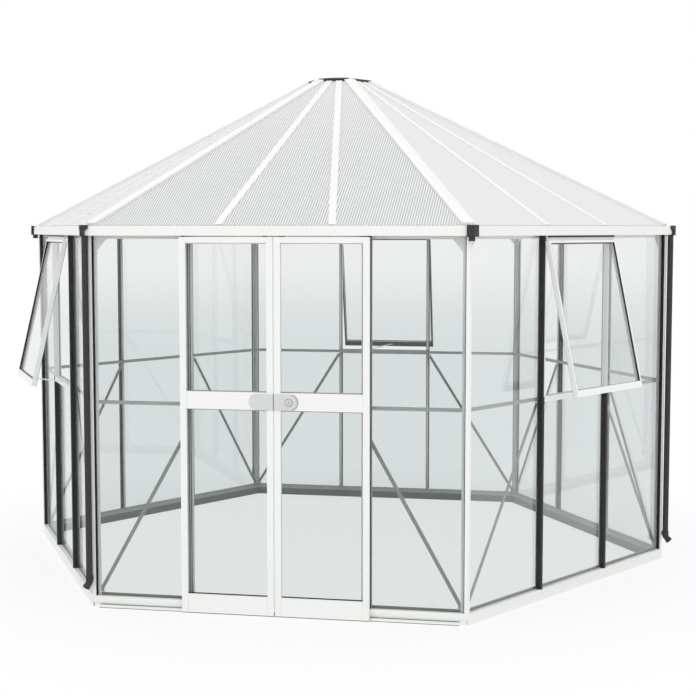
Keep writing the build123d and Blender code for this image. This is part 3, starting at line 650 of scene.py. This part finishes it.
def make_vent_seals_and_shade():
    shape = Shape()
    inner = -VENT_DEPTH / 2
    edge = VENT_HALF - VENT_STILE
    low = VENT_LENGTH - VENT_FOOT_RAIL
    before = strip(FLANK_BACK, FLANK_FRONT, FLANK_SEAL)
    whole = strip(inner, -inner, FLANK_SEAL)
    for wall in VENT_WALLS:
        side, fall, out = vent_axes(wall)
        for hand in (-1, 1):
            shape.sweep(
                vent_point(wall, hand * edge, VENT_TOP_RAIL, 0),
                vent_point(wall, hand * edge, low, 0), out, side * -hand, before,
            )
        for down, face, outline in ((VENT_TOP_RAIL, fall, whole), (low, -fall, before)):
            shape.sweep(
                vent_point(wall, -edge, down, 0), vent_point(wall, edge, down, 0),
                out, face, outline,
            )
        shape.sweep(
            vent_point(wall, -edge, VENT_TOP_RAIL, inner),
            vent_point(wall, edge, VENT_TOP_RAIL, inner),
            fall, -out, strip(-TOP_SEAL, 0, FLANK_SEAL),
        )
        # Black strip along the hinge: painted shadow under the gutter
        shape.sweep(
            wall_point(wall, -VENT_HALF, 0, HINGE_SHADE_FOOT),
            wall_point(wall, VENT_HALF, 0, HINGE_SHADE_FOOT), wall_normal(wall), UP,
            strip(HINGE_SHADE_BACK, HINGE_SHADE_FRONT, GUTTER_BOTTOM - HINGE_SHADE_FOOT),
        )
    shape.piece("vent_seals_and_shade", "house", BLACK)


# Vent linings: grey strips over the inner faces of the stiles and the foot rail that paint the
# shade on these faces
LINING_MARGIN = 0.001
LINING_HEIGHT = 0.002


def make_vent_inner_shade():
    shape = Shape()
    inner = -VENT_DEPTH / 2
    middle = VENT_HALF - VENT_STILE / 2
    half_stile = VENT_STILE / 2 - LINING_MARGIN
    half_foot = VENT_FOOT_RAIL / 2 - LINING_MARGIN
    edge = VENT_HALF - VENT_STILE
    foot = VENT_LENGTH - VENT_FOOT_RAIL / 2
    for wall in VENT_WALLS:
        side, fall, out = vent_axes(wall)
        for hand in (-1, 1):
            shape.sweep(
                vent_point(wall, hand * middle, VENT_TOP_RAIL, inner),
                vent_point(wall, hand * middle, VENT_LENGTH - LINING_MARGIN, inner),
                side, -out, strip(-half_stile, half_stile, LINING_HEIGHT),
            )
        shape.sweep(
            vent_point(wall, -edge, foot, inner), vent_point(wall, edge, foot, inner),
            fall, -out, strip(-half_foot, half_foot, LINING_HEIGHT),
        )
    shape.piece("vent_inner_face_shade", "house", VENT_INNER_SHADE_PAINT)


# Grooves: black strips down the jambs and the corner posts that paint the shade in their grooves
JAMB_GROOVES = (0.4248, 0.4343, 0.4438)
JAMB_FACE = -0.0252
GROOVE_HALF = 0.0014
GROOVE_HEIGHT = 0.0012
POST_GROOVES = (0.8958,)
POST_FACE = -0.0278


def make_grooves():
    shape = Shape()
    for hand in (-1, 1):
        for u in JAMB_GROOVES:
            shape.sweep(
                wall_point(0, hand * u, JAMB_FACE, LINER_FOOT),
                wall_point(0, hand * u, JAMB_FACE, LINER_TOP),
                wall_along(0), wall_normal(0), strip(-GROOVE_HALF, GROOVE_HALF, GROOVE_HEIGHT),
            )
        for wall in range(WALLS):
            for u in POST_GROOVES:
                shape.sweep(
                    wall_point(wall, hand * u, POST_FACE, LINER_FOOT),
                    wall_point(wall, hand * u, POST_FACE, LINER_TOP),
                    wall_along(wall), -wall_normal(wall),
                    strip(-GROOVE_HALF, GROOVE_HALF, GROOVE_HEIGHT),
                )
    shape.piece("frame_groove_shade", "house", BLACK)


# Bar liners: pale rounded strips over the ribs of the glazing bars, inside
BAR_OFFSET = 0.305
LINER_WIDTH = 0.012
LINER_FRONT = FLANGE_BACK + 0.0002
LINER_HEIGHT = 0.008
LINER_FOOT = 0.0705
LINER_BREAKS = (1.004, 1.034)
LINER_TOP = 1.812


def make_bar_liners():
    shape = Shape()
    runs = ((LINER_FOOT, LINER_BREAKS[0]), (LINER_BREAKS[1], LINER_TOP))
    for wall in range(1, WALLS):
        side = wall_along(wall)
        for hand in (-1, 1):
            for low, high in runs:
                shape.sweep(
                    wall_point(wall, hand * BAR_OFFSET, LINER_FRONT, low),
                    wall_point(wall, hand * BAR_OFFSET, LINER_FRONT, high),
                    side, -wall_normal(wall), bead(LINER_WIDTH, LINER_HEIGHT),
                )
    shape.piece("bar_liners", "house", WHITE, smooth=True)


# Pipe collars: rounded rims at the outlets of the rain pipes
PIPE_CENTRE = 1.880
PIPE_FOOT = 0.130
ELBOW_ANGLE = math.radians(40)
COLLAR = ((0.0155, 0.022), (0.0185, 0.0235), (0.0185, 0.0355), (0.0150, 0.0368), (0.0138, 0.030))
COLLAR_STEPS = 32
PIPE_CORNERS = range(0, WALLS, 2)


def make_pipe_collars():
    shape = Shape()
    for corner in PIPE_CORNERS:
        angle = math.radians(corner * 360 / WALLS)
        out = Vector((math.cos(angle), math.sin(angle), 0))
        axis = out * math.sin(ELBOW_ANGLE) - UP * math.cos(ELBOW_ANGLE)
        shape.turned(out * PIPE_CENTRE + UP * PIPE_FOOT, axis, COLLAR, COLLAR_STEPS)
    shape.piece("pipe_collars", "house", SLOT_MATERIALS["black_plastic"])


# Bolts: domed heads inside, where braces and gussets are fixed
BOLT_RADIUS = 0.0055
BOLT_HEIGHT = 0.0035
BOLT_STEPS = 16
DOME_STEPS = 4


def bolt_outline():
    angles = [math.pi / 2 * i / DOME_STEPS for i in range(DOME_STEPS)]
    dome = [(BOLT_RADIUS * math.cos(a), BOLT_HEIGHT * math.sin(a)) for a in angles]
    return [(BOLT_RADIUS, -BOLT_HEIGHT / 2)] + dome


def make_bolts():
    shape = Shape()
    outline = bolt_outline()
    for wall in range(WALLS):
        head = BRACE_HEAD if wall else BRACE_HEAD_FRONT
        spots = [(u, BRACE_BACK, z) for u, z in (BRACE_FOOT, head)]
        spots += [(u, GUSSET_BACK, z) for u, z in GUSSET_BOLTS]
        for u, n, z in spots:
            for hand in (-1, 1):
                place = wall_point(wall, hand * u, n, z)
                shape.turned(place, -wall_normal(wall), outline, BOLT_STEPS)
    shape.piece("frame_bolts", "house", PALE, smooth=True)


# Front sill: black strips that paint the shade in the groove above the guide rail and the shadow
# where it meets the ground
GUIDE_REACH = 0.892
GUIDE_FRONT = 0.012
GROUND_LINE = 0.0024
GROUND_PROUD = 0.0005
GROOVE_LOW = 0.013
GROOVE_HIGH = 0.0155
GROOVE_BACK = -0.008
GROOVE_FRONT = -0.0065


def make_sill_lines():
    shape = Shape()
    ends = [wall_point(0, hand * GUIDE_REACH, 0, 0) for hand in (-1, 1)]
    shape.sweep(
        *ends, FRONT, UP, strip(GUIDE_FRONT, GUIDE_FRONT + GROUND_PROUD, GROUND_LINE)
    )
    rise = UP * GROOVE_LOW
    shape.sweep(
        ends[0] + rise, ends[1] + rise, FRONT, UP,
        strip(GROOVE_BACK, GROOVE_FRONT, GROOVE_HIGH - GROOVE_LOW),
    )
    shape.piece("front_sill_shade_lines", "house", BLACK)


# Surroundings
def make_floor():
    half = FLOOR_SIZE / 2
    mesh = bpy.data.meshes.new("floor")
    corners = [(-half, -half, 0), (half, -half, 0), (half, half, 0), (-half, half, 0)]
    mesh.from_pydata(corners, [], [(0, 1, 2, 3)])
    floor = bpy.data.objects.new("floor", mesh)
    bpy.context.collection.objects.link(floor)
    material, nodes, links, shader = new_material("floor")
    shader.inputs["Base Color"].default_value = (*FLOOR_PALE, 1)
    shader.inputs["Roughness"].default_value = FLOOR_ROUGHNESS
    glow = nodes.new("ShaderNodeEmission")
    distance = nodes.new("ShaderNodeVectorMath")
    distance.operation = "LENGTH"
    links.new(object_place(nodes), distance.inputs[0])
    fade = ramp(
        nodes, links, distance.outputs["Value"], FLOOR_SHADE_REACH, FLOOR_WHITE_REACH,
        FLOOR_WHITENESS, 1.0,
    )
    share = maths(nodes, links, "MULTIPLY", seen_rays(nodes, links), fade)
    mixed_shader(nodes, links, share, shader.outputs["BSDF"], glow.outputs["Emission"])
    mesh.materials.append(material)


def seen_rays(nodes, links):
    # One for rays that come from the camera, a mirror or glass
    path = nodes.new("ShaderNodeLightPath")
    seen = maths(
        nodes, links, "MAXIMUM",
        path.outputs["Is Camera Ray"], path.outputs["Is Glossy Ray"],
    )
    return maths(nodes, links, "MAXIMUM", seen, path.outputs["Is Transmission Ray"])


def make_camera():
    data = bpy.data.cameras.new("camera")
    data.lens = CAMERA_LENS
    data.sensor_width = SENSOR_WIDTH
    camera = bpy.data.objects.new("camera", data)
    camera.location = CAMERA_PLACE
    camera.rotation_euler = (math.radians(90 - CAMERA_DIP), 0, math.radians(CAMERA_TURN))
    bpy.context.collection.objects.link(camera)
    bpy.context.scene.camera = camera


def make_light():
    world = bpy.data.worlds.new("world")
    world.use_nodes = True
    nodes = world.node_tree.nodes
    links = world.node_tree.links
    back = nodes["Background"]
    back.inputs["Color"].default_value = (1, 1, 1, 1)
    level = ramp(nodes, links, seen_rays(nodes, links), 0, 1, AMBIENT, 1.0)
    links.new(level, back.inputs["Strength"])
    bpy.context.scene.world = world
    for name, (turn, power) in SUNS.items():
        lamp = bpy.data.lights.new(name, "SUN")
        lamp.energy = power
        lamp.angle = math.radians(SUN_SPREAD)
        placed = bpy.data.objects.new(name, lamp)
        placed.rotation_euler = (math.radians(SUN_TILT), 0, math.radians(turn))
        bpy.context.collection.objects.link(placed)


dress_nodes()
for leaf, side_hand in (("left", -1), ("right", 1)):
    make_leaf_beads(leaf, side_hand)
    make_leaf_brush(leaf, side_hand)
make_handle_trim("right", 1)
make_meeting_strips()
make_lock_trim()
make_vent_seals_and_shade()
make_vent_inner_shade()
make_grooves()
make_bar_liners()
make_pipe_collars()
make_bolts()
make_sill_lines()
make_floor()
make_camera()
make_light()
bpy.context.scene.cycles.transparent_max_bounces = GLASS_LAYERS
bpy.context.scene.view_settings.view_transform = "Standard"
